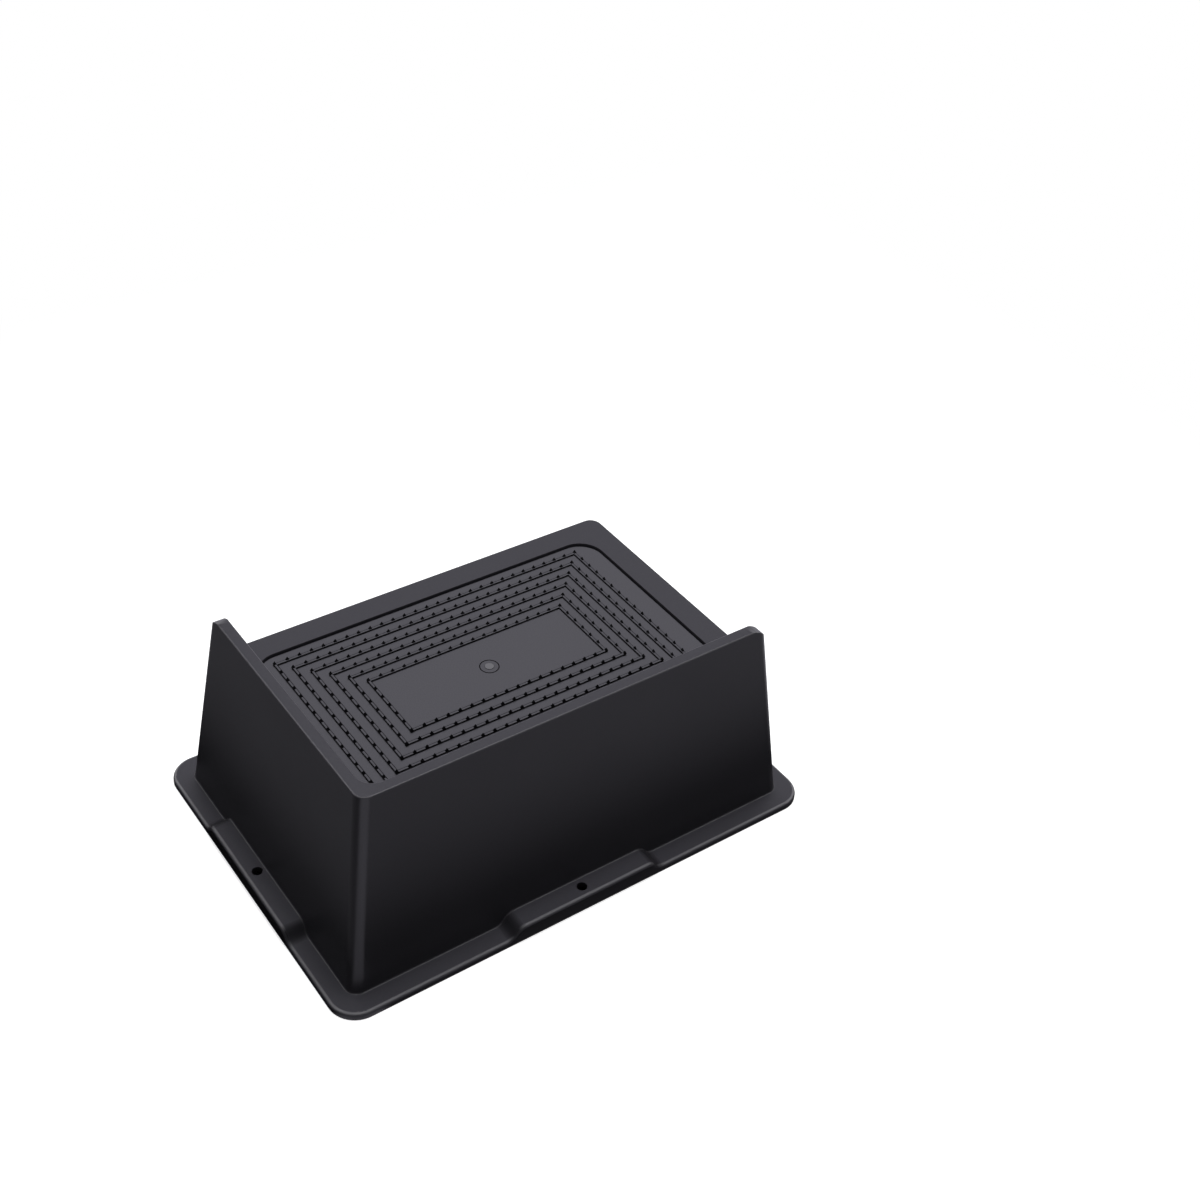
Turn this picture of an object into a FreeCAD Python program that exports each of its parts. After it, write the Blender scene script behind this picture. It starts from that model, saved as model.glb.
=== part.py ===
import FreeCAD, Part
import math
import os

# Base flange
BASE_LENGTH = 248.6
BASE_WIDTH = 175.8
LONG_LEDGE_WIDTH = 9.6
SHORT_LEDGE_WIDTH = 8.7
FLANGE_THICKNESS = 3.4
FLANGE_CORNER_RADIUS = 13.0
FLANGE_EDGE_ROUND = 1.9

# Drafted wall, its draft given as run for each unit of rise
DRAFT_ALONG_X = 0.131
DRAFT_ALONG_Y = 0.112
WALL_CORNER_RADIUS = 5.8
WALL_THICKNESS = 3.0
WALL_FOOT_ROUND = 0.8

# Seat and the lip on two of its sides
SEAT_HEIGHT = 75.0
LIP_TOP_HEIGHT = 101.5
LIP_THICKNESS = 5.4
LIP_INNER_RADIUS = 8.0
LIP_END_ROUND = 12.5
LIP_EDGE_ROUND = 0.8
SEAT_EDGE_ROUND = 0.5

# Recess in the seat, set out from the free edges and from the lip
FREE_BORDER = 12.8
LIP_BORDER = 6.2
RECESS_DEPTH = 3.0
RECESS_CORNER_RADIUS = 12.5
ROOF_THICKNESS = 3.0

# Raised screw lands of the flange on the lip sides
LAND_HEIGHT = 8.5
LAND_FLAT_LENGTH = 65.0
LAND_RAMP_LENGTH = 10.0
LAND_ROOF_THICKNESS = 3.0
LAND_SKIRT_THICKNESS = 2.1
LAND_POCKET_GAP = 0.2
FRONT_LAND_SHIFT = -2.9
SIDE_LAND_SHIFT = 1.2
SCREW_HOLE_DIAMETER = 4.8
SCREW_HOLE_INSET = 5.8

# Stiffening ribs inside the hollow
RIB_THICKNESS = 2.5
RIB_FLOOR_GAP = 6.0
CROSS_RIB_COUNT = 3

# Grip pad
PAD_GAP = 0.35
PAD_BASE_THICKNESS = 1.5
PATTERN_SHIFT_X = -0.9
PATTERN_SHIFT_Y = 0.45
PAD_RIB_COUNT = 6
PAD_RIB_WIDTH = 1.5
PAD_RIB_HEIGHT = 0.9
TOOTH_COLUMN_COUNT = 28
TOOTH_ROW_COUNT = 17
TOOTH_MARGIN_X = 10.9
TOOTH_MARGIN_Y = 6.3
TOOTH_WIDTH = 1.35
TOOTH_HEIGHT = 1.5
TOOTH_ROOT_DEPTH = 0.1
GATE_RING_DIAMETER = 9.2
GATE_RING_WIDTH = 0.5
GATE_RING_DEPTH = 0.4
GATE_STUB_DIAMETER = 4.3
GATE_STUB_HEIGHT = 0.2

# How far a cutting tool runs past the face it cuts
CUT_PAST = 1.0

# Sizes that follow from the ones above
WALL_LENGTH = BASE_LENGTH - 2 * SHORT_LEDGE_WIDTH
WALL_WIDTH = BASE_WIDTH - 2 * LONG_LEDGE_WIDTH
RECESS_FLOOR = SEAT_HEIGHT - RECESS_DEPTH
CEILING_HEIGHT = RECESS_FLOOR - ROOF_THICKNESS
PAD_TOP = RECESS_FLOOR + PAD_BASE_THICKNESS
LIP_TOP_HALF_X = WALL_LENGTH / 2 - DRAFT_ALONG_X * LIP_TOP_HEIGHT
LIP_TOP_HALF_Y = WALL_WIDTH / 2 - DRAFT_ALONG_Y * LIP_TOP_HEIGHT
LIP_INNER_X = LIP_THICKNESS - LIP_TOP_HALF_X
LIP_INNER_Y = LIP_THICKNESS - LIP_TOP_HALF_Y
SEAT_HALF_X = WALL_LENGTH / 2 - DRAFT_ALONG_X * SEAT_HEIGHT
SEAT_HALF_Y = WALL_WIDTH / 2 - DRAFT_ALONG_Y * SEAT_HEIGHT
RECESS_X = (LIP_INNER_X + LIP_BORDER, SEAT_HALF_X - FREE_BORDER)
RECESS_Y = (LIP_INNER_Y + LIP_BORDER, SEAT_HALF_Y - FREE_BORDER)
PAD_X = (RECESS_X[0] + PAD_GAP, RECESS_X[1] - PAD_GAP)
PAD_Y = (RECESS_Y[0] + PAD_GAP, RECESS_Y[1] - PAD_GAP)
PATTERN_X = (PAD_X[0] + PAD_X[1]) / 2 + PATTERN_SHIFT_X
PATTERN_Y = (PAD_Y[0] + PAD_Y[1]) / 2 + PATTERN_SHIFT_Y
TOOTH_PITCH_X = (PAD_X[1] - PAD_X[0] - 2 * TOOTH_MARGIN_X) / (TOOTH_COLUMN_COUNT - 1)
TOOTH_PITCH_Y = (PAD_Y[1] - PAD_Y[0] - 2 * TOOTH_MARGIN_Y) / (TOOTH_ROW_COUNT - 1)

UP = FreeCAD.Vector(0, 0, 1)
ALONG_X = FreeCAD.Vector(1, 0, 0)
ALONG_Y = FreeCAD.Vector(0, 1, 0)
ORIGIN = FreeCAD.Vector(0, 0, 0)
TOUCH = 0.01


def vec(x, y, z):
    return FreeCAD.Vector(x, y, z)


def plain_box(x_range, y_range, z_range):
    """Box between pairs of limits."""
    box = Part.makeBox(x_range[1] - x_range[0], y_range[1] - y_range[0], z_range[1] - z_range[0])
    box.translate(vec(x_range[0], y_range[0], z_range[0]))
    return box


def rounded_slab(x_range, y_range, z_range, radius):
    """Box with rounded upright edges."""
    slab = plain_box(x_range, y_range, z_range)
    upright = [edge for edge in slab.Edges if edge.BoundBox.ZLength > TOUCH]
    return slab.makeFillet(radius, upright)


def drafted_block(inset, height, radius):
    """Block that follows the outer wall, set in by a wall thickness, with rounded corners."""
    low_x = WALL_LENGTH / 2 - inset
    low_y = WALL_WIDTH / 2 - inset
    high_x = low_x - DRAFT_ALONG_X * height
    high_y = low_y - DRAFT_ALONG_Y * height
    block = Part.makeWedge(-low_x, 0, -low_y, -high_y, -high_x, low_x, height, low_y, high_y, high_x)
    block.rotate(ORIGIN, ALONG_X, 90)
    upright = [edge for edge in block.Edges if edge.BoundBox.ZLength > height / 2]
    return block.makeFillet(radius, upright)


def edges_on_level(shape, level):
    """Edges that lie flat on one height."""
    found = []
    for edge in shape.Edges:
        box = edge.BoundBox
        if abs(box.ZMin - level) < TOUCH and abs(box.ZMax - level) < TOUCH:
            found.append(edge)
    return found


def lip_edges(block):
    """Long edges along the top of the lip, with the arcs that join them."""
    found = []
    for edge in edges_on_level(block, LIP_TOP_HEIGHT):
        box = edge.BoundBox
        crosses_x = box.XMin > LIP_TOP_HALF_X - 2 * WALL_CORNER_RADIUS
        crosses_y = box.YMin > LIP_TOP_HALF_Y - 2 * WALL_CORNER_RADIUS
        if not crosses_x and not crosses_y:
            found.append(edge)
    return found


def seat_edges(block):
    """Edges of the seat on its two free sides."""
    found = []
    for edge in edges_on_level(block, SEAT_HEIGHT):
        centre = edge.CenterOfMass
        if centre.x > SEAT_HALF_X - WALL_CORNER_RADIUS or centre.y > SEAT_HALF_Y - WALL_CORNER_RADIUS:
            found.append(edge)
    return found


def end_corner_tool(half_top, draft, depth):
    """Prism along +Y that takes the top corner off a lip ending at +X, leaving a round."""
    corner = vec(half_top, 0, LIP_TOP_HEIGHT)
    down = vec(draft, 0, -1).normalize()
    back = vec(-1, 0, 0)
    half_angle = down.getAngle(back) / 2
    reach = LIP_END_ROUND / math.tan(half_angle)
    bisector = (down + back).normalize()
    centre = corner + bisector * (LIP_END_ROUND / math.sin(half_angle))
    on_top = corner + back * reach
    on_end = corner + down * reach
    middle = centre - bisector * LIP_END_ROUND
    outside = corner - bisector * LIP_END_ROUND
    arc = Part.Arc(on_top, middle, on_end).toShape()
    sides = [Part.makeLine(on_end, outside), Part.makeLine(outside, on_top)]
    face = Part.Face(Part.Wire([arc] + sides))
    return face.extrude(ALONG_Y * depth)


def lipped_block():
    """Outer block with the seat cleared, leaving the lip on the -X and -Y sides."""
    block = drafted_block(0.0, LIP_TOP_HEIGHT, WALL_CORNER_RADIUS)
    space = plain_box(
        (LIP_INNER_X, BASE_LENGTH),
        (LIP_INNER_Y, BASE_WIDTH),
        (SEAT_HEIGHT, LIP_TOP_HEIGHT + CUT_PAST),
    )
    inner = [
        edge for edge in space.Edges
        if edge.BoundBox.ZLength > TOUCH
        and edge.BoundBox.XMax < LIP_INNER_X + TOUCH
        and edge.BoundBox.YMax < LIP_INNER_Y + TOUCH
    ]
    block = block.cut(space.makeFillet(LIP_INNER_RADIUS, inner))
    block = block.makeFillet(LIP_EDGE_ROUND, lip_edges(block))
    block = block.makeFillet(SEAT_EDGE_ROUND, seat_edges(block))
    across = 2 * LIP_THICKNESS + (LIP_TOP_HEIGHT - SEAT_HEIGHT)
    front_end = end_corner_tool(LIP_TOP_HALF_X, DRAFT_ALONG_X, across)
    front_end.translate(vec(0, LIP_INNER_Y + LIP_THICKNESS - across, 0))
    side_end = end_corner_tool(LIP_TOP_HALF_Y, DRAFT_ALONG_Y, across)
    side_end.rotate(ORIGIN, UP, 90)
    side_end.translate(vec(LIP_INNER_X + LIP_THICKNESS, 0, 0))
    return block.cut(front_end).cut(side_end)


def land(depth):
    """Raised land along X with an S-shaped ramp at each end, its outer face at y = 0."""
    rise = LAND_HEIGHT - FLANGE_THICKNESS
    half = LAND_FLAT_LENGTH / 2
    bend = (LAND_RAMP_LENGTH ** 2 + rise ** 2) / (4 * rise)
    turn = math.asin(LAND_RAMP_LENGTH / (2 * bend))
    swing = bend * math.sin(turn / 2)
    sag = bend * (1 - math.cos(turn / 2))
    reach = half + LAND_RAMP_LENGTH
    edges = []
    for side in (-1, 1):
        top = vec(side * half, 0, LAND_HEIGHT)
        upper = vec(side * (half + swing), 0, LAND_HEIGHT - sag)
        middle = vec(side * (half + LAND_RAMP_LENGTH / 2), 0, LAND_HEIGHT - rise / 2)
        lower = vec(side * (reach - swing), 0, FLANGE_THICKNESS + sag)
        foot = vec(side * reach, 0, FLANGE_THICKNESS)
        floor = vec(side * reach, 0, 0)
        edges.append(Part.Arc(top, upper, middle).toShape())
        edges.append(Part.Arc(middle, lower, foot).toShape())
        edges.append(Part.makeLine(foot, floor))
    edges.append(Part.makeLine(vec(-half, 0, LAND_HEIGHT), vec(half, 0, LAND_HEIGHT)))
    edges.append(Part.makeLine(vec(-reach, 0, 0), vec(reach, 0, 0)))
    face = Part.Face(Part.Wire(Part.__sortEdges__(edges)))
    return face.extrude(ALONG_Y * depth)


def land_pocket():
    """Hollow under a land, open to the floor."""
    half = LAND_FLAT_LENGTH / 2 - LAND_SKIRT_THICKNESS
    depth = min(LONG_LEDGE_WIDTH, SHORT_LEDGE_WIDTH)
    return plain_box(
        (-half, half),
        (LAND_SKIRT_THICKNESS, depth - LAND_POCKET_GAP),
        (-CUT_PAST, LAND_HEIGHT - LAND_ROOF_THICKNESS),
    )


def screw_hole():
    """Through hole of a land."""
    start = vec(0, SCREW_HOLE_INSET, -CUT_PAST)
    return Part.makeCylinder(SCREW_HOLE_DIAMETER / 2, LAND_HEIGHT + 2 * CUT_PAST, start, UP)


def on_both_lip_sides(shape):
    """Copies of a shape drawn inward from y = 0, one placed on each lip side."""
    front = shape.copy()
    front.translate(vec(FRONT_LAND_SHIFT, -BASE_WIDTH / 2, 0))
    side = shape.copy()
    side.rotate(ORIGIN, UP, -90)
    side.translate(vec(-BASE_LENGTH / 2, SIDE_LAND_SHIFT, 0))
    return [front, side]


def on_base_outline(point):
    """Whether a point lies on one of the four outer faces of the base."""
    return abs(point.x) > BASE_LENGTH / 2 - TOUCH or abs(point.y) > BASE_WIDTH / 2 - TOUCH


def rim_edges(plate):
    """Outer top edges of the flange and of its lands."""
    found = []
    for edge in plate.Edges:
        ends = [vertex.Point for vertex in edge.Vertexes]
        raised = edge.BoundBox.ZMin > FLANGE_THICKNESS - TOUCH
        if raised and all(on_base_outline(point) for point in ends):
            found.append(edge)
    return found


def flange_with_lands():
    """Base plate with the raised lands and a round along its outer top edge."""
    plate = rounded_slab(
        (-BASE_LENGTH / 2, BASE_LENGTH / 2),
        (-BASE_WIDTH / 2, BASE_WIDTH / 2),
        (0, FLANGE_THICKNESS),
        FLANGE_CORNER_RADIUS,
    )
    depth = max(LONG_LEDGE_WIDTH, SHORT_LEDGE_WIDTH) + WALL_THICKNESS
    for piece in on_both_lip_sides(land(depth)):
        plate = plate.fuse(piece)
    plate = plate.removeSplitter()
    return plate.makeFillet(FLANGE_EDGE_ROUND, rim_edges(plate))


def foot_edges(body):
    """Edges where the outer wall stands on the flange and on the lands."""
    found = []
    for edge in body.Edges:
        box = edge.BoundBox
        point = edge.CenterOfMass
        low = box.ZMin > FLANGE_THICKNESS - TOUCH and box.ZMax < LAND_HEIGHT + TOUCH
        if low and abs(point.x) < WALL_LENGTH / 2 and abs(point.y) < WALL_WIDTH / 2:
            found.append(edge)
    return found


def stiffening_ribs(hollow):
    """Ribs across the hollow, evenly spaced under the seat, and one along it."""
    heights = (RIB_FLOOR_GAP, CEILING_HEIGHT + ROOF_THICKNESS / 2)
    half = RIB_THICKNESS / 2
    spacing = 2 * SEAT_HALF_X / (CROSS_RIB_COUNT + 1)
    ribs = plain_box((-BASE_LENGTH, BASE_LENGTH), (-half, half), heights)
    for number in range(CROSS_RIB_COUNT):
        middle = (number - (CROSS_RIB_COUNT - 1) / 2) * spacing
        ribs = ribs.fuse(plain_box((middle - half, middle + half), (-BASE_WIDTH, BASE_WIDTH), heights))
    return ribs.common(hollow)


def riser_body():
    """The one-piece moulding."""
    body = lipped_block().fuse(flange_with_lands()).removeSplitter()
    body = body.makeFillet(WALL_FOOT_ROUND, foot_edges(body))
    hollow = drafted_block(WALL_THICKNESS, CEILING_HEIGHT, WALL_CORNER_RADIUS - WALL_THICKNESS)
    body = body.cut(hollow.cut(stiffening_ribs(hollow)))
    for tool in on_both_lip_sides(land_pocket()) + on_both_lip_sides(screw_hole()):
        body = body.cut(tool)
    recess = rounded_slab(RECESS_X, RECESS_Y, (RECESS_FLOOR, SEAT_HEIGHT + CUT_PAST), RECESS_CORNER_RADIUS)
    return body.cut(recess)


def pad_rib(number):
    """One closed rectangular rib of the pad, counted from the outside; its teeth stand along its middle."""
    outer_x = ((TOOTH_COLUMN_COUNT - 1) / 2 - number) * TOOTH_PITCH_X + PAD_RIB_WIDTH / 2
    outer_y = ((TOOTH_ROW_COUNT - 1) / 2 - number) * TOOTH_PITCH_Y + PAD_RIB_WIDTH / 2
    inner_x = outer_x - PAD_RIB_WIDTH
    inner_y = outer_y - PAD_RIB_WIDTH
    heights = (PAD_TOP, PAD_TOP + PAD_RIB_HEIGHT)
    solid = plain_box((-outer_x, outer_x), (-outer_y, outer_y), heights)
    return solid.cut(plain_box((-inner_x, inner_x), (-inner_y, inner_y), heights))


def tooth_places():
    """Places of the teeth: the outer rings of a grid, one ring for each rib."""
    places = []
    for row in range(TOOTH_ROW_COUNT):
        for column in range(TOOTH_COLUMN_COUNT):
            ring = min(row, column, TOOTH_ROW_COUNT - 1 - row, TOOTH_COLUMN_COUNT - 1 - column)
            if ring < PAD_RIB_COUNT:
                x = (column - (TOOTH_COLUMN_COUNT - 1) / 2) * TOOTH_PITCH_X
                y = (row - (TOOTH_ROW_COUNT - 1) / 2) * TOOTH_PITCH_Y
                places.append((x, y))
    return places


def tooth():
    """Four-sided pointed tooth whose sides run a little way down into the rib."""
    half = TOOTH_WIDTH / 2 * (TOOTH_HEIGHT + TOOTH_ROOT_DEPTH) / TOOTH_HEIGHT
    low = PAD_TOP + PAD_RIB_HEIGHT - TOOTH_ROOT_DEPTH
    base = [vec(-half, -half, low), vec(half, -half, low), vec(half, half, low), vec(-half, half, low)]
    tip = vec(0, 0, PAD_TOP + PAD_RIB_HEIGHT + TOOTH_HEIGHT)
    faces = [Part.Face(Part.makePolygon(base + [base[0]]))]
    for number in range(4):
        first = base[number]
        second = base[(number + 1) % 4]
        faces.append(Part.Face(Part.makePolygon([first, second, tip, first])))
    return Part.Solid(Part.Shell(faces))


def disc(diameter, bottom, top):
    """Round plate in the middle of the pattern."""
    return Part.makeCylinder(diameter / 2, top - bottom, vec(0, 0, bottom), UP)


def grip_pad():
    """Soft insert with toothed ribs and a gate mark in the middle of them."""
    base = rounded_slab(PAD_X, PAD_Y, (RECESS_FLOOR, PAD_TOP), RECESS_CORNER_RADIUS - PAD_GAP)
    base.translate(vec(-PATTERN_X, -PATTERN_Y, 0))
    ring_floor = PAD_TOP - GATE_RING_DEPTH
    ring = disc(GATE_RING_DIAMETER, ring_floor, PAD_TOP + CUT_PAST)
    ring = ring.cut(disc(GATE_RING_DIAMETER - 2 * GATE_RING_WIDTH, ring_floor, PAD_TOP + CUT_PAST))
    raised = [disc(GATE_STUB_DIAMETER, RECESS_FLOOR, PAD_TOP + GATE_STUB_HEIGHT)]
    raised += [pad_rib(number) for number in range(PAD_RIB_COUNT)]
    pattern = tooth()
    for x, y in tooth_places():
        copy = pattern.copy()
        copy.translate(vec(x, y, 0))
        raised.append(copy)
    pad = base.cut(ring).multiFuse(raised).removeSplitter()
    pad.translate(vec(PATTERN_X, PATTERN_Y, 0))
    return pad


def one_solid(shape):
    """The single solid of a finished shape."""
    solids = shape.Solids
    if len(solids) != 1 or not solids[0].isValid():
        raise ValueError("expected one valid solid, found %d" % len(solids))
    return solids[0]


os.makedirs("parts", exist_ok=True)
NODES = {"riser_body": riser_body, "grip_pad": grip_pad}
for name, make in NODES.items():
    piece = one_solid(make())
    piece.exportStep("parts/" + name + ".step")
    print(name, "volume", round(piece.Volume), "faces", len(piece.Faces))
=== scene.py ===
"""Dresses the bed riser: the moulded body, its grip pad, the studio and the camera.

Lengths are in metres and angles in degrees. +Z is up, and the front of the riser faces -Y.
"""

import logging
import math
from dataclasses import dataclass
from enum import Enum
from typing import Any, Union

import bmesh
import bpy
from mathutils import Matrix, Vector


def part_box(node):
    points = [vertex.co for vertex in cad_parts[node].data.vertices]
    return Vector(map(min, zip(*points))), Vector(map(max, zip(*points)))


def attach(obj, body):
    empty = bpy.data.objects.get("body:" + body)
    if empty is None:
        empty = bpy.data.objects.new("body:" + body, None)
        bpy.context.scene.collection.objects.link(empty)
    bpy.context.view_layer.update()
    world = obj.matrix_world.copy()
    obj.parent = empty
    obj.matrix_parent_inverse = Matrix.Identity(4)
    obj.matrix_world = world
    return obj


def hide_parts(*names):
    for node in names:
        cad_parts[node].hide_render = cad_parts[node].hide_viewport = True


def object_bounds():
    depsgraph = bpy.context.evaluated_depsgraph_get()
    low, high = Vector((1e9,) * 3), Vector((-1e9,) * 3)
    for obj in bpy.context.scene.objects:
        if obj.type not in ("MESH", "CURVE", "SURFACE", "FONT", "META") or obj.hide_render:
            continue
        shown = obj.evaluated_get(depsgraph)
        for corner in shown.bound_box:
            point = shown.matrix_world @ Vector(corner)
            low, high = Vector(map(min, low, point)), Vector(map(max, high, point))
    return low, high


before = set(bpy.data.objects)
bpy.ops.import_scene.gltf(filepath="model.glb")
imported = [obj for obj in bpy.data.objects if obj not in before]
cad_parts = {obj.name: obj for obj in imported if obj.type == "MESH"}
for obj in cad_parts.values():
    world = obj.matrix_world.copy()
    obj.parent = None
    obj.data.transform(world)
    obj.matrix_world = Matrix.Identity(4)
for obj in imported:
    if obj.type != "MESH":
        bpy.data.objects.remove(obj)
CAD_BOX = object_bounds()

MM = 0.001
LOG = logging.getLogger("bed_riser")

Colour = tuple[float, float, float]
Point = tuple[float, float, float]
Value = Union["Sock", float]

UP = Vector((0.0, 0.0, 1.0))
WHITE: Colour = (1.0, 1.0, 1.0)
BASE_REACH = [max(abs(CAD_BOX[0][axis]), abs(CAD_BOX[1][axis])) for axis in range(2)]
NOISE_MIDDLE = 0.5
NOISE_ROUGHNESS = 0.55
# Sockets of a Mix node that is set to colours
MIX_SHARE, MIX_FIRST, MIX_SECOND, MIX_RESULT = 0, 6, 7, 2


class Ray(Enum):
    """Kinds of light ray that the surroundings answer in their own way."""

    CAMERA = "Is Camera Ray"
    GLOSSY = "Is Glossy Ray"
    TRANSMISSION = "Is Transmission Ray"


class Mask(Enum):
    """Marks that the meshes carry for their finishes, painted highlight and painted shade among
    them.
    """

    FLANK_SHADE = "flank"
    GATE = "gate"
    PAINTED_HIGHLIGHT = "worn"
    RAMP_SHADE = "slope"


class Rounding(Enum):
    """What a bevel rounds off."""

    CORNERS = "VERTICES"
    EDGES = "EDGES"


class Sock:
    """A shader socket that takes part in Python arithmetic."""

    def __init__(self, shader: "Shader", socket: bpy.types.NodeSocket) -> None:
        """Keeps the socket and the shader it belongs to."""
        self.shader = shader
        self.socket = socket

    def _math(self, operation: str, first: Value, second: Value) -> "Sock":
        """Adds one Math node and gives its result."""
        return self.shader.node("ShaderNodeMath", {"operation": operation}, {0: first, 1: second})

    def __add__(self, other: Value) -> "Sock":
        """Sum with a value on the right."""
        return self._math("ADD", self, other)

    def __radd__(self, other: Value) -> "Sock":
        """Sum with a value on the left."""
        return self._math("ADD", other, self)

    def __sub__(self, other: Value) -> "Sock":
        """Difference with a value on the right."""
        return self._math("SUBTRACT", self, other)

    def __rsub__(self, other: Value) -> "Sock":
        """Difference with a value on the left."""
        return self._math("SUBTRACT", other, self)

    def __mul__(self, other: Value) -> "Sock":
        """Product with a value on the right."""
        return self._math("MULTIPLY", self, other)

    def __rmul__(self, other: Value) -> "Sock":
        """Product with a value on the left."""
        return self._math("MULTIPLY", other, self)

    def at_least(self, other: Value) -> "Sock":
        """The larger of this and another value."""
        return self._math("MAXIMUM", self, other)

    def at_most(self, other: Value) -> "Sock":
        """The smaller of this and another value."""
        return self._math("MINIMUM", self, other)


class Shader:
    """A node tree under construction."""

    def __init__(self, tree: bpy.types.NodeTree) -> None:
        """Starts from an empty tree."""
        self.tree = tree
        tree.nodes.clear()

    def node(
        self,
        kind: str,
        settings: dict[str, Any] | None = None,
        inputs: dict[Any, Any] | None = None,
        output: int | str = 0,
    ) -> Sock:
        """Adds a node, sets it up and wires it.

        Args:
            kind: Blender's name of the node type.
            settings: Properties set before the sockets are filled.
            inputs: Values or sockets by input name or number.
            output: Name or number of the output that is wanted.

        Returns:
            The chosen output, or the node's first input where it has no output.
        """
        made = self.tree.nodes.new(kind)
        for name, value in (settings or {}).items():
            setattr(made, name, value)
        for key, value in (inputs or {}).items():
            if isinstance(value, Sock):
                self.tree.links.new(value.socket, made.inputs[key])
            else:
                made.inputs[key].default_value = value
        return Sock(self, made.outputs[output] if made.outputs else made.inputs[0])

    def place(self) -> Sock:
        """Object coordinates."""
        return self.node("ShaderNodeTexCoord", output="Object")

    def mark(self, mask: Mask) -> Sock:
        """One of the mesh's own marks."""
        return self.node("ShaderNodeAttribute", {"attribute_name": mask.value}, output="Fac")

    def part(self, vector: Sock, axis: int) -> Sock:
        """One part of a vector, counted from 0 for X."""
        return self.node("ShaderNodeSeparateXYZ", inputs={0: vector}, output=axis)

    def noise(self, place: Sock, size: float, detail: float) -> Sock:
        """Noise from 0 to 1, with grains of a size in metres and a number of finer layers."""
        inputs = {"Vector": place, "Scale": 1.0 / size, "Detail": detail}
        inputs["Roughness"] = NOISE_ROUGHNESS
        return self.node("ShaderNodeTexNoise", {"noise_dimensions": "3D"}, inputs)

    def blend(self, share: Sock, first: Any, second: Any) -> Sock:
        """Two colours mixed, where the share is how much of the second one shows."""
        inputs = {MIX_SHARE: share, MIX_FIRST: first, MIX_SECOND: second}
        return self.node("ShaderNodeMix", {"data_type": "RGBA"}, inputs, MIX_RESULT)

    def mix(self, share: Sock, first: Sock, second: Sock) -> Sock:
        """Two surfaces mixed, where the share is how much of the second one shows."""
        return self.node("ShaderNodeMixShader", inputs={0: share, 1: first, 2: second})

    def ramp(
        self, value: Sock, start: float, end: float, low: float = 0.0, high: float = 1.0
    ) -> Sock:
        """A value mapped smoothly: low up to the start, high from the end on."""
        inputs = {"Value": value, "From Min": start, "From Max": end, "To Min": low, "To Max": high}
        return self.node("ShaderNodeMapRange", {"interpolation_type": "SMOOTHSTEP"}, inputs)

    def rays(self, *kinds: Ray) -> Sock:
        """Tells the chosen kinds of ray from the rest.

        Args:
            kinds: The kinds of ray.

        Returns:
            1 for a ray of one of these kinds and 0 for any other.
        """
        found = [self.node("ShaderNodeLightPath", output=kind.value) for kind in kinds]
        total = found[0]
        for other in found[1:]:
            total = total.at_least(other)
        return total


def rgba(colour: Colour, gain: float = 1.0) -> tuple[float, float, float, float]:
    """The colour times a gain, with full alpha."""
    return (colour[0] * gain, colour[1] * gain, colour[2] * gain, 1.0)


def new_material(name: str) -> tuple[bpy.types.Material, Shader]:
    """Starts a material.

    Args:
        name: Name of the material.

    Returns:
        The material, and its empty node tree as a shader.
    """
    made = bpy.data.materials.new(name)
    made.use_nodes = True
    return made, Shader(made.node_tree)


@dataclass(frozen=True)
class Finish:
    """What the finishes share: a colour speckled by a fine raised grain."""

    name: str
    colour: Colour
    colour_spread: float
    roughness: float
    specular: float
    grain_size: float
    grain_height: float
    grain_detail: float = 2.0

    def look(self, shader: Shader, speckled: Sock) -> tuple[Sock, Sock]:
        """The finish's own colour and roughness, given the speckled colour."""
        raise NotImplementedError

    def material(self) -> bpy.types.Material:
        """Builds the finish as a material.

        Returns:
            The material, which reads Object coordinates and the mesh's own marks.
        """
        made, shader = new_material(self.name)
        grain = shader.noise(shader.place(), self.grain_size, self.grain_detail)
        dark = rgba(self.colour, 1.0 - self.colour_spread)
        light = rgba(self.colour, 1.0 + self.colour_spread)
        colour, roughness = self.look(shader, shader.blend(grain, dark, light))
        relief = {"Strength": 1.0, "Distance": self.grain_height, "Height": grain}
        surface = shader.node(
            "ShaderNodeBsdfPrincipled",
            inputs={
                "Base Color": colour,
                "Roughness": roughness,
                "Specular IOR Level": self.specular,
                "Normal": shader.node("ShaderNodeBump", inputs=relief),
            },
        )
        shader.node("ShaderNodeOutputMaterial", inputs={"Surface": surface})
        return made


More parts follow.
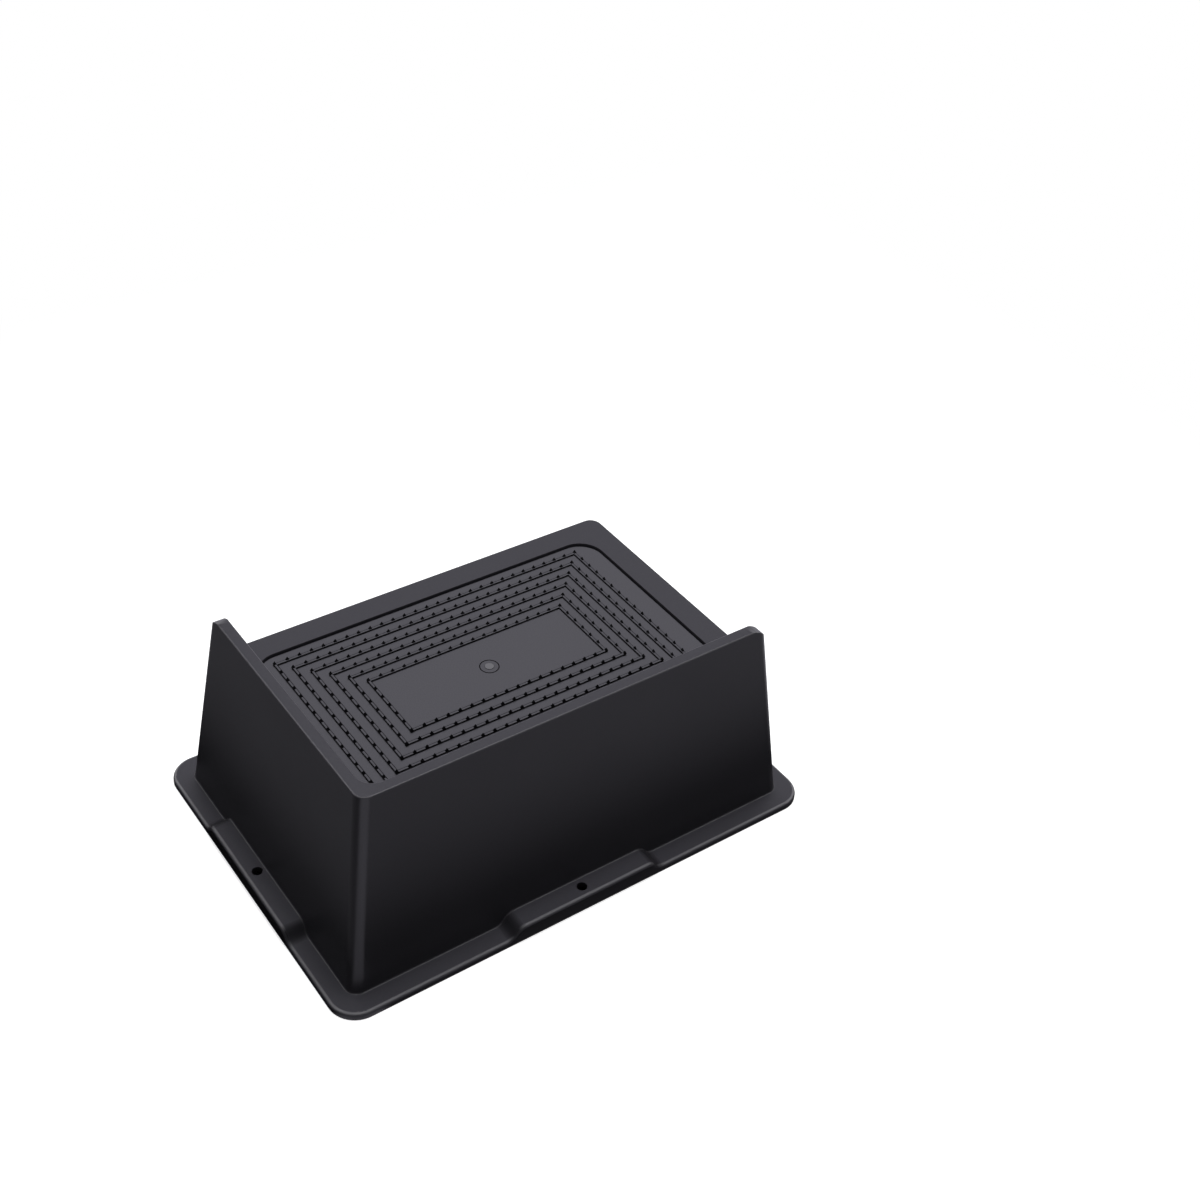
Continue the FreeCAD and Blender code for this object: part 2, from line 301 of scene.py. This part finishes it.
@dataclass(frozen=True)
class MouldedPlastic(Finish):
    """Black plastic with a spark-eroded grain, uneven gloss, a painted highlight along the rounded
    edges and painted shade on the ramps.
    """

    name: str = "body_plastic"
    colour: Colour = (0.052, 0.0505, 0.0595)
    colour_spread: float = 0.10
    roughness: float = 0.33
    specular: float = 0.26
    grain_size: float = 0.55 * MM
    grain_height: float = 0.012 * MM
    cloud_size: float = 40.0 * MM
    cloud_detail: float = 3.0
    roughness_spread: float = 0.10
    # Painted highlight colour for the rounded edges, with a little more gloss there
    highlight_colour: Colour = (0.200, 0.197, 0.211)
    highlight_gloss: float = 0.06
    # Painted shade colour for the screw lands' ramps
    ramp_shade_colour: Colour = (0.021, 0.0203, 0.024)

    def look(self, shader: Shader, speckled: Sock) -> tuple[Sock, Sock]:
        """Paints a highlight along the rounded edges, paints shade on the ramps and makes the gloss
        uneven.

        Args:
            shader: The shader to add to.
            speckled: The speckled colour.

        Returns:
            The colour and the roughness.
        """
        worn = shader.mark(Mask.PAINTED_HIGHLIGHT)
        # Painted highlight along the rounded edges
        highlighted = shader.blend(worn, speckled, rgba(self.highlight_colour))
        # Painted shade on the ramps
        colour = shader.blend(shader.mark(Mask.RAMP_SHADE), highlighted, rgba(self.ramp_shade_colour))
        cloud = shader.noise(shader.place(), self.cloud_size, self.cloud_detail)
        uneven = (cloud - NOISE_MIDDLE) * self.roughness_spread
        return colour, self.roughness + uneven - worn * self.highlight_gloss


@dataclass(frozen=True)
class GripRubber(Finish):
    """Soft dark grey rubber: grained flats, painted near-black shade on the flanks and in the gate
    groove, painted shadow lines along the ribs, a lighter gate stub.
    """

    name: str = "pad_rubber"
    colour: Colour = (0.0735, 0.0718, 0.0825)
    colour_spread: float = 0.22
    roughness: float = 0.62
    specular: float = 0.18
    grain_size: float = 0.50 * MM
    grain_height: float = 0.03 * MM
    # Painted shade: near black on the steep flanks, in the gate groove and in the ribs' shadow
    # lines
    flank_shade_colour: Colour = (0.004, 0.004, 0.005)
    flank_roughness: float = 0.50
    gate_colour: Colour = (0.128, 0.126, 0.138)

    def look(self, shader: Shader, speckled: Sock) -> tuple[Sock, Sock]:
        """Lightens the gate stub and paints near-black shade on the flanks, in the groove and in
        the ribs' shadow lines.

        Args:
            shader: The shader to add to.
            speckled: The speckled colour.

        Returns:
            The colour and the roughness.
        """
        flank = shader.mark(Mask.FLANK_SHADE)
        flats = shader.blend(shader.mark(Mask.GATE), speckled, rgba(self.gate_colour))
        colour = shader.blend(flank, flats, rgba(self.flank_shade_colour))
        return colour, self.roughness + flank * (self.flank_roughness - self.roughness)


def new_marks(layers: Any, *masks: Mask) -> list[Any]:
    """Adds marks to the faces or loops of a bmesh.

    Args:
        layers: The layers of the faces or loops.
        masks: The marks to add.

    Returns:
        Their layers, looked up when all are there because a new layer moves the others.
    """
    for mask in masks:
        layers.float.new(mask.value)
    return [layers.float[mask.value] for mask in masks]


def flat_plate(
    form: bmesh.types.BMesh, middle: Vector, half_x: float, half_y: float
) -> bmesh.types.BMFace:
    """Adds a level oblong face.

    Args:
        form: The bmesh to add to.
        middle: Its middle.
        half_x: Half of its length.
        half_y: Half of its width.

    Returns:
        The new face.
    """
    place = Matrix.Translation(middle) @ Matrix.Diagonal((half_x, half_y, 1.0, 1.0))
    made = bmesh.ops.create_grid(form, x_segments=1, y_segments=1, size=1.0, matrix=place)
    return made["verts"][0].link_faces[0]


def raise_faces(
    form: bmesh.types.BMesh, faces: list[bmesh.types.BMFace], height: float
) -> list[bmesh.types.BMFace]:
    """Extrudes faces upwards.

    Args:
        form: The bmesh that holds the faces.
        faces: The faces to raise.
        height: How far they rise.

    Returns:
        The raised faces.
    """
    made = bmesh.ops.extrude_face_region(form, geom=faces, use_keep_orig=True)["geom"]
    verts = [item for item in made if isinstance(item, bmesh.types.BMVert)]
    bmesh.ops.translate(form, verts=verts, vec=UP * height)
    return [item for item in made if isinstance(item, bmesh.types.BMFace)]


def round_off(
    form: bmesh.types.BMesh, geom: list[Any], what: Rounding, radius: float, steps: int
) -> list[bmesh.types.BMVert]:
    """Bevels edges or corners to an even round.

    Args:
        form: The bmesh that holds them.
        geom: The edges, or the corners as vertices.
        what: Which of the two they are.
        radius: Size of the round.
        steps: Number of facets.

    Returns:
        The vertices of the round.
    """
    made = bmesh.ops.bevel(
        form, geom=geom, offset=radius, offset_type="OFFSET", affect=what.value,
        segments=steps, profile=0.5, material=-1,
    )
    return made["verts"]


def largest(faces: Any) -> bmesh.types.BMFace:
    """The face with the largest area."""
    return max(faces, key=lambda face: face.calc_area())


def new_piece(form: bmesh.types.BMesh, name: str) -> bpy.types.Object:
    """Turns a finished bmesh into a piece of the scene.

    Args:
        form: The bmesh, which is freed.
        name: Name of the piece.

    Returns:
        The new object, at the origin.
    """
    mesh = bpy.data.meshes.new(name)
    form.to_mesh(mesh)
    form.free()
    piece = bpy.data.objects.new(name, mesh)
    bpy.context.scene.collection.objects.link(piece)
    return piece


def dress(piece: bpy.types.Object, finish: Finish, node: str) -> None:
    """Gives a piece its finish and sets it in place of its CAD node.

    Args:
        piece: The finished piece.
        finish: Its finish, named after the record's material slot.
        node: The CAD node it stands for.
    """
    piece.data.materials.append(finish.material())
    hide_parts(node)
    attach(piece, "root")


@dataclass
class RiserBody:
    """The one-piece moulding with its lip, flange and screw lands."""

    node: str = "riser_body"
    weld: float = 0.002 * MM
    sharp_angle: float = 35.0
    normal_weight: int = 50
    # Where the rounded edges lie, by height and by depth inside the base's outline
    corner_radius: float = 13.0 * MM
    rim_depth: float = 2.3 * MM
    foot_near: float = 6.0 * MM
    foot_far: float = 13.0 * MM
    foot_top: float = 12.0 * MM
    lip_level: float = 100.4 * MM
    # Range of a rounded face's upward part, and how strong each edge's painted highlight is
    flat_low: float = 0.20
    flat_high: float = 0.985
    highlight_speed: float = 3.0
    rim_highlight: float = 1.0
    foot_highlight: float = 0.6
    lip_highlight: float = 0.55
    # Upward part below which a face is no ramp, and sideways part of a ramp whose painted shade is
    # full
    ramp_upright: float = 0.3
    ramp_steep: float = 0.55

    def way_out(self, place: Vector) -> tuple[Vector, float]:
        """Finds the way out of the base's rounded outline.

        Args:
            place: A point of the body.

        Returns:
            The level direction that leads out, and how deep inside the outline the point lies.
        """
        core = [reach - self.corner_radius for reach in BASE_REACH]
        signs = Vector((math.copysign(1.0, place.x), math.copysign(1.0, place.y)))
        over = Vector((abs(place.x) - core[0], abs(place.y) - core[1]))
        if min(over) > 0.0:
            return over.normalized() * signs, self.corner_radius - over.length
        way = Vector((1.0, 0.0)) if over.x > over.y else Vector((0.0, 1.0))
        return way * signs, self.corner_radius - max(over)

    def highlight_share(self, place: Vector, normal: Vector) -> float:
        """How much painted highlight a rounded edge gets.

        Args:
            place: A point of the body.
            normal: The body's direction there.

        Returns:
            From 0 on a flat face to the edge's own share a third of the way round.
        """
        way, depth = self.way_out(place)
        if place.z > self.lip_level:
            share = self.lip_highlight
        elif depth < self.rim_depth:
            share = self.rim_highlight
        elif place.z < self.foot_top and self.foot_near < depth < self.foot_far:
            share = self.foot_highlight
        else:
            share = 0.0
        # Painted highlight: strongest a third of the way round each rounded edge
        tip = math.atan2(max(normal.xy.dot(way), 0.0), max(normal.z, 0.0))
        return share * math.sin(min(self.highlight_speed * tip, math.pi)) ** 2

    def slope(self, place: Vector, normal: Vector) -> float:
        """How much painted shade a screw land's ramp gets, by how steep it is.

        Args:
            place: A point of the body.
            normal: The body's direction there.

        Returns:
            From 0 on a level or upright face to 1 on the steepest part of a ramp.
        """
        way, depth = self.way_out(place)
        if place.z > self.foot_top or depth > self.foot_far or normal.z < self.ramp_upright:
            return 0.0
        along = abs(normal.x * way.y - normal.y * way.x)
        return min(along / self.ramp_steep, 1.0)

    def mark_edges(self, form: bmesh.types.BMesh) -> None:
        """Marks the painted highlight along the rounded edges and the painted shade on the ramps
        for the finish.

        Args:
            form: The welded bmesh.
        """
        worn, slope = new_marks(form.loops.layers, Mask.PAINTED_HIGHLIGHT, Mask.RAMP_SHADE)
        for face in form.faces:
            if self.flat_low < face.normal.z < self.flat_high:
                for loop in face.loops:
                    loop[worn] = self.highlight_share(loop.vert.co, loop.vert.normal)
                    loop[slope] = self.slope(loop.vert.co, loop.vert.normal)

    def build(self) -> bpy.types.Object:
        """Makes the body as a welded copy of its node, with flat walls and smooth rounds.

        Returns:
            The dressed piece.
        """
        form = bmesh.new()
        form.from_mesh(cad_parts[self.node].data)
        bmesh.ops.remove_doubles(form, verts=form.verts, dist=self.weld)
        form.normal_update()
        self.mark_edges(form)
        for face in form.faces:
            face.smooth = True
            face.material_index = 0
        for edge in form.edges:
            edge.smooth = edge.calc_face_angle(0.0) < math.radians(self.sharp_angle)
        piece = new_piece(form, "moulded_body")
        even = piece.modifiers.new("flat_walls", "WEIGHTED_NORMAL")
        even.mode = "FACE_AREA"
        even.weight = self.normal_weight
        even.keep_sharp = True
        dress(piece, MouldedPlastic(), self.node)
        return piece


@dataclass
class GripPad:
    """The soft insert: a thin slab with toothed ribs and a gate mark in the middle."""

    node: str = "grip_pad"
    weld: float = 0.001 * MM
    level_slack: float = 0.01 * MM
    round_steps: int = 2
    # Slab, and how far the pattern's middle lies from the slab's
    slab_thickness: float = 1.5 * MM
    corner_radius: float = 12.15 * MM
    corner_steps: int = 15
    rim_round: float = 0.3 * MM
    shift_x: float = -0.9 * MM
    shift_y: float = 0.45 * MM
    # Ribs
    rib_count: int = 6
    rib_width: float = 1.5 * MM
    rib_height: float = 0.9 * MM
    rib_round: float = 0.2 * MM
    rib_shadow_line: float = 0.58 * MM
    rib_spread: float = 0.5 * MM
    rib_root: float = 0.3 * MM
    square_angle: float = 60.0
    # Teeth
    teeth_x: int = 28
    teeth_y: int = 17
    margin_x: float = 10.9 * MM
    margin_y: float = 6.3 * MM
    tooth_sides: int = 4
    tooth_turn: float = 45.0
    tooth_width: float = 1.7 * MM
    tooth_slim: float = 0.55
    tooth_corner: float = 0.8
    tooth_shift: float = 0.25 * MM
    tooth_height: float = 1.5 * MM
    tooth_root: float = 0.1 * MM
    tooth_tip: float = 0.06 * MM
    # Gate mark
    gate_steps: int = 64
    gate_ring: float = 4.6 * MM
    gate_groove: float = 0.5 * MM
    gate_depth: float = 0.4 * MM
    gate_stub: float = 2.15 * MM
    gate_rise: float = 0.2 * MM
    gate_round: float = 0.1 * MM
    # Upward part of a face where the painted shade on a flank starts, and where it is full
    flank_start: float = 0.97
    flank_full: float = 0.80

    def __post_init__(self) -> None:
        """Takes the pad's place from its CAD node and works out the pattern's middle and pitch."""
        low, high = (Vector(corner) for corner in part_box(self.node))
        self.half = (high - low) / 2
        self.centre = (high + low) / 2
        self.middle = self.centre + Vector((self.shift_x, self.shift_y, 0.0))
        self.floor = low.z
        self.top = low.z + self.slab_thickness
        self.pitch_x = 2 * (self.half.x - self.margin_x) / (self.teeth_x - 1)
        self.pitch_y = 2 * (self.half.y - self.margin_y) / (self.teeth_y - 1)

    def add_gate(self, form: bmesh.types.BMesh) -> list[bmesh.types.BMEdge]:
        """Spins the gate mark: a ring groove round a low round stub.

        Args:
            form: The bmesh to add to.

        Returns:
            The edges of its outer circle.
        """
        inner = self.gate_ring - self.gate_groove
        stub_top = self.top + self.gate_rise
        profile = [
            (self.gate_ring, self.top),
            (self.gate_ring, self.top - self.gate_depth),
            (inner, self.top - self.gate_depth),
            (inner, self.top),
            (self.gate_stub, self.top),
            (self.gate_stub, stub_top - self.gate_round),
            (self.gate_stub - self.gate_round, stub_top),
            (0.0, stub_top),
        ]
        line = [form.verts.new((self.middle.x + r, self.middle.y, z)) for r, z in profile]
        edges = [form.edges.new(pair) for pair in zip(line, line[1:])]
        bmesh.ops.spin(
            form, geom=line + edges, cent=self.middle, axis=UP, angle=math.tau,
            steps=self.gate_steps, use_merge=True,
        )
        bmesh.ops.remove_doubles(form, verts=form.verts, dist=self.weld)
        return [edge for edge in form.edges if edge.is_boundary]

    def add_slab(self, form: bmesh.types.BMesh) -> None:
        """Adds the slab round the gate mark, with rounded corners and a rounded upper rim.

        Args:
            form: The bmesh that is still empty.
        """
        circle = self.add_gate(form)
        middle = Vector((self.centre.x, self.centre.y, self.floor))
        corners = list(flat_plate(form, middle, self.half.x, self.half.y).verts)
        made = round_off(form, corners, Rounding.CORNERS, self.corner_radius, self.corner_steps)
        outline = largest(made[0].link_faces)
        lid = raise_faces(form, [outline], self.slab_thickness)[0]
        round_off(form, list(lid.edges), Rounding.EDGES, self.rim_round, self.round_steps)
        level = self.top - self.level_slack
        lid = largest(face for face in form.faces if face.calc_center_median().z > level)
        rim = list(lid.edges)
        bmesh.ops.delete(form, geom=[lid], context="FACES_ONLY")
        bmesh.ops.triangle_fill(form, edges=rim + circle, use_beauty=True, normal=UP)

    def add_rib(self, form: bmesh.types.BMesh, number: int) -> None:
        """Adds one closed oblong rib, with rounded upper edges and a painted shadow line along
        those to +X and +Y.

        Args:
            form: The bmesh to add to.
            number: Its number, counted from the outside.
        """
        reach_x = self.half.x - self.margin_x - number * self.pitch_x + self.rib_width / 2
        reach_y = self.half.y - self.margin_y - number * self.pitch_y + self.rib_width / 2
        middle = Vector((self.middle.x, self.middle.y, self.top - self.rib_root))
        plate = flat_plate(form, middle, reach_x, reach_y)
        flank = form.faces.layers.float[Mask.FLANK_SHADE.value]
        ring = []
        bare = self.rib_width + self.rib_spread - 2.0 * self.rib_shadow_line
        for width, side in ((self.rib_shadow_line, 1.0), (bare, 0.0), (self.rib_shadow_line, -1.0)):
            strip = bmesh.ops.inset_region(
                form, faces=[plate], thickness=width, use_boundary=True
            )["faces"]
            # Painted shadow line: the edge strip towards +X and +Y gets the shade mark
            for face in strip:
                lean = face.calc_center_median() - self.middle
                face[flank] = 1.0 if side * (lean.x + lean.y) > 0.0 else 0.0
            ring += strip
        bmesh.ops.delete(form, geom=[plate], context="FACES_ONLY")
        raised = raise_faces(form, ring, self.rib_root + self.rib_height)
        edges = {edge for face in raised for edge in face.edges}
        square = math.radians(self.square_angle)
        outer = [edge for edge in edges if edge.calc_face_angle(0.0) > square]
        round_off(form, outer, Rounding.EDGES, self.rib_round, self.round_steps)

    def tooth_places(self) -> list[tuple[Vector, Vector]]:
        """Places of the teeth: one at each step along every rib.

        Returns:
            The middle of the rib's top at each tooth, with the way out across the rib there.
        """
        places = []
        top = self.top + self.rib_height
        last_column = self.teeth_x - 1
        last_row = self.teeth_y - 1
        for row in range(self.teeth_y):
            for column in range(self.teeth_x):
                ring = min(row, column, last_row - row, last_column - column)
                if ring < self.rib_count:
                    x = (column - last_column / 2) * self.pitch_x
                    y = (row - last_row / 2) * self.pitch_y
                    out_x = (last_column - column == ring) - (column == ring)
                    out_y = (last_row - row == ring) - (row == ring)
                    place = Vector((self.middle.x + x, self.middle.y + y, top))
                    places.append((place, Vector((out_x, out_y, 0.0))))
        return places

    def add_teeth(self, form: bmesh.types.BMesh) -> None:
        """Adds a pointed tooth at each place, slim across its rib and near the outer flank.

        Args:
            form: The bmesh to add to.
        """
        height = self.tooth_height + self.tooth_root
        foot = self.tooth_width / math.sqrt(2.0) * height / self.tooth_height
        square = Matrix.Rotation(math.radians(self.tooth_turn), 4, "Z")
        lift = Vector((0.0, 0.0, height / 2 - self.tooth_root))
        for place, out in self.tooth_places():
            thin = self.tooth_corner if out.x and out.y else self.tooth_slim
            slim = [thin if across else 1.0 for across in out.xy]
            where = Matrix.Translation(place + out * self.tooth_shift + lift)
            bmesh.ops.create_cone(
                form, cap_ends=True, segments=self.tooth_sides, radius1=foot,
                radius2=self.tooth_tip, depth=height,
                matrix=where @ Matrix.Diagonal((*slim, 1.0, 1.0)) @ square,
            )

    def mark_faces(self, form: bmesh.types.BMesh) -> None:
        """Marks the painted shade on the steep flanks and in the gate groove, and the gate stub,
        for the finish, and keeps the ribs' painted shadow lines.

        Args:
            form: The finished bmesh.
        """
        flank = form.faces.layers.float[Mask.FLANK_SHADE.value]
        gate = form.faces.layers.float[Mask.GATE.value]
        span = self.flank_start - self.flank_full
        for face in form.faces:
            place = face.calc_center_median()
            steep = (self.flank_start - face.normal.z) / span
            sunk = place.z < self.top - self.gate_depth / 2
            # Painted shade: full in the sunk groove, and by steepness on the flanks
            face[flank] = 1.0 if sunk else min(max(steep, face[flank]), 1.0)
            reach = (place - self.middle).xy.length
            face[gate] = 1.0 if reach < self.gate_stub - self.gate_round else 0.0

    def build(self) -> bpy.types.Object:
        """Makes the pad and dresses it.

        Returns:
            The dressed piece.
        """
        form = bmesh.new()
        new_marks(form.faces.layers, Mask.FLANK_SHADE, Mask.GATE)
        self.add_slab(form)
        for number in range(self.rib_count):
            self.add_rib(form, number)
        self.add_teeth(form)
        bmesh.ops.recalc_face_normals(form, faces=form.faces)
        form.normal_update()
        self.mark_faces(form)
        piece = new_piece(form, "toothed_pad")
        dress(piece, GripRubber(), self.node)
        return piece


@dataclass(frozen=True)
class Softbox:
    """A square area lamp that is aimed at the riser and isn't mirrored in it."""

    name: str
    place: Point
    width: float
    power: float
    aim: Point = (0.0, 0.0, 0.05)

    def build(self) -> None:
        """Adds the lamp."""
        data = bpy.data.lights.new(self.name, "AREA")
        data.shape = "SQUARE"
        data.size = self.width
        data.energy = self.power
        lamp = bpy.data.objects.new(self.name, data)
        lamp.visible_glossy = False
        turn = (Vector(self.aim) - Vector(self.place)).to_track_quat("-Z", "Y")
        lamp.matrix_world = Matrix.Translation(self.place) @ turn.to_matrix().to_4x4()
        bpy.context.scene.collection.objects.link(lamp)


@dataclass
class Studio:
    """Pale floor, white surroundings and soft light from above and behind."""

    # Floor as the camera sees it: a pale strip round the riser, then white
    floor_width: float = 30.0
    floor_drop: float = 0.1 * MM
    floor_colour: Colour = (0.62, 0.62, 0.62)
    floor_glow: float = 0.72
    glow_start: float = -6.2 * MM
    glow_full: float = -4.0 * MM
    shade_start: float = 60.0 * MM
    shade_end: float = 450.0 * MM
    # Floor as the riser's walls mirror it: painted shade by distance from its foot, a faint painted
    # glow along the foot and painted light at the near corner
    floor_bounce: float = 0.02
    mirror_colour: Colour = (0.97, 0.95, 1.06)
    foot_dark: float = 9.0 * MM
    foot_clear: float = 97.0 * MM
    foot_side_gain: float = 2.5
    front_level: float = 0.75
    side_share: float = 0.33
    contact_rise: float = 3.0 * MM
    contact_reach: float = 13.0 * MM
    contact_level: float = 0.12
    corner_lead: float = 25.0 * MM
    corner_slope: float = 0.45
    corner_spill: float = 12.0 * MM
    corner_clear: float = 10.0 * MM
    corner_near: float = 0.85
    corner_far: float = 1.50
    # Surroundings and lamps
    sky_light: float = 0.08
    backdrop_top: float = 0.15
    lamps: tuple[Softbox, ...] = (
        Softbox("overhead_softbox", place=(0.12, 0.03, 1.6), width=0.35, power=12.8),
        Softbox("back_softbox", place=(0.30, 0.51, 1.35), width=1.1, power=15.6),
    )

    def painted_reflection_level(
        self, shader: Shader, left: Sock, front: Sock, far_side: Sock, gap: Sock
    ) -> Sock:
        """Grades the floor that the walls mirror.

        Args:
            shader: The floor's shader.
            left: Distance past the base's left side.
            front: Distance past its front.
            far_side: Distance past its right side or its back.
            gap: Distance from the base.

        Returns:
            The glow's strength: painted shade, dark at the foot, with a level for each side, a
            faint painted glow along the foot and painted light at the near corner.
        """
        seen_side = (left * self.foot_side_gain).at_least(front)
        owned = shader.ramp(seen_side, 0.0, self.corner_clear)
        distance = far_side + (seen_side - far_side) * owned
        graded = shader.ramp(distance, self.foot_dark, self.foot_clear, 0.0, self.front_level)
        leftward = (left + self.corner_clear).at_most(left - front)
        on_left = shader.ramp(leftward, -self.corner_clear, 0.0)
        dimmed = graded * (1.0 - on_left * (1.0 - self.side_share))
        outside = shader.ramp(gap, -self.contact_rise, 0.0) * (1.0 - on_left)
        contact = shader.ramp(gap, 0.0, self.contact_reach, self.contact_level, 0.0) * outside
        # Painted light where the walls mirror the floor off the near corner
        spill = front - left * self.corner_slope + self.corner_spill
        in_corner = shader.ramp((left + self.corner_lead).at_most(spill), 0.0, self.corner_clear)
        painted_corner_light = in_corner * shader.ramp(
            front, self.foot_dark, self.foot_clear, self.corner_near, self.corner_far
        )
        return dimmed.at_least(contact).at_least(painted_corner_light)

    def floor_material(self) -> bpy.types.Material:
        """Floor that shows white with a soft shadow, and is mirrored with painted shade at the
        riser's foot.

        Returns:
            The floor's material.
        """
        made, shader = new_material("pale_floor")
        place = shader.place()
        parts = [shader.part(place, axis) for axis in range(2)]
        left, front = (-limit - part for part, limit in zip(parts, BASE_REACH))
        right, back = (part - limit for part, limit in zip(parts, BASE_REACH))
        far_side = right.at_least(back)
        gap = left.at_least(front).at_least(far_side)
        level = self.painted_reflection_level(shader, left, front, far_side, gap)
        # Painted reflection: glossy rays see a glow carrying painted shade at the foot and painted
        # light at the near corner
        bright = shader.node(
            "ShaderNodeEmission", inputs={"Color": rgba(self.mirror_colour), "Strength": level}
        )
        dim = shader.node("ShaderNodeBsdfDiffuse", inputs={"Color": rgba(WHITE, self.floor_bounce)})
        unseen = shader.mix(shader.rays(Ray.GLOSSY, Ray.TRANSMISSION), dim, bright)
        pale = shader.node("ShaderNodeBsdfDiffuse", inputs={"Color": rgba(self.floor_colour)})
        lit = shader.ramp(gap, self.glow_start, self.glow_full, 0.0, self.floor_glow)
        glow = shader.node("ShaderNodeEmission", inputs={"Strength": lit})
        near = shader.node("ShaderNodeAddShader", inputs={0: pale, 1: glow})
        white = shader.node("ShaderNodeEmission", inputs={"Strength": 1.0})
        seen = shader.mix(shader.ramp(gap, self.shade_start, self.shade_end), near, white)
        both = shader.mix(shader.rays(Ray.CAMERA), unseen, seen)
        shader.node("ShaderNodeOutputMaterial", inputs={"Surface": both})
        return made

    def build_floor(self) -> None:
        """Adds the floor plane under the riser."""
        form = bmesh.new()
        bmesh.ops.create_grid(form, x_segments=1, y_segments=1, size=self.floor_width / 2)
        bmesh.ops.translate(form, verts=form.verts, vec=UP * -self.floor_drop)
        floor = new_piece(form, "floor")
        floor.data.materials.append(self.floor_material())

    def build_world(self) -> None:
        """Sets white surroundings that are seen and mirrored, and a dim sky for the light."""
        world = bpy.data.worlds.new("studio")
        world.use_nodes = True
        bpy.context.scene.world = world
        shader = Shader(world.node_tree)
        height = shader.part(shader.node("ShaderNodeTexCoord", output="Generated"), 2)
        backdrop = shader.ramp(height, 0.0, self.backdrop_top, 1.0, 0.0)
        mirrored = shader.rays(Ray.GLOSSY) * backdrop
        seen = shader.rays(Ray.CAMERA, Ray.TRANSMISSION).at_least(mirrored)
        strength = self.sky_light + seen * (1.0 - self.sky_light)
        sky = shader.node(
            "ShaderNodeBackground", inputs={"Color": rgba(WHITE), "Strength": strength}
        )
        shader.node("ShaderNodeOutputWorld", inputs={"Surface": sky})

    def build(self) -> None:
        """Adds the floor, the surroundings and the lamps."""
        self.build_floor()
        self.build_world()
        for lamp in self.lamps:
            lamp.build()


@dataclass
class PhotoCamera:
    """Camera solved from the riser's straight edges in the photograph."""

    heading: float = 38.0791
    tilt: float = 38.2571
    roll: float = 4.4309
    place: Point = (-0.30764, -0.46808, 0.55730)
    focal_pixels: float = 1647.43
    image_pixels: float = 1200.0
    sensor: float = 36.0
    clip_near: float = 0.01
    clip_far: float = 100.0

    def build(self) -> None:
        """Adds the camera and makes it the scene's own."""
        data = bpy.data.cameras.new("photo_camera")
        data.sensor_fit = "HORIZONTAL"
        data.sensor_width = self.sensor
        data.lens = self.focal_pixels / self.image_pixels * self.sensor
        data.clip_start = self.clip_near
        data.clip_end = self.clip_far
        camera = bpy.data.objects.new("photo_camera", data)
        turn = (
            Matrix.Rotation(-math.radians(self.heading), 4, "Z")
            @ Matrix.Rotation(math.radians(90.0 - self.tilt), 4, "X")
            @ Matrix.Rotation(math.radians(self.roll), 4, "Z")
        )
        camera.matrix_world = Matrix.Translation(self.place) @ turn
        bpy.context.scene.collection.objects.link(camera)
        bpy.context.scene.camera = camera


def main() -> None:
    """Builds the pieces, the studio and the camera, and reports each piece."""
    logging.basicConfig(level=logging.INFO, format="%(message)s")
    bpy.context.scene.view_settings.view_transform = "Standard"
    for assembly in (RiserBody, GripPad):
        piece = assembly().build()
        LOG.info("piece %s: %d faces", piece.name, len(piece.data.polygons))
    Studio().build()
    PhotoCamera().build()


if __name__ == "__main__":
    main()
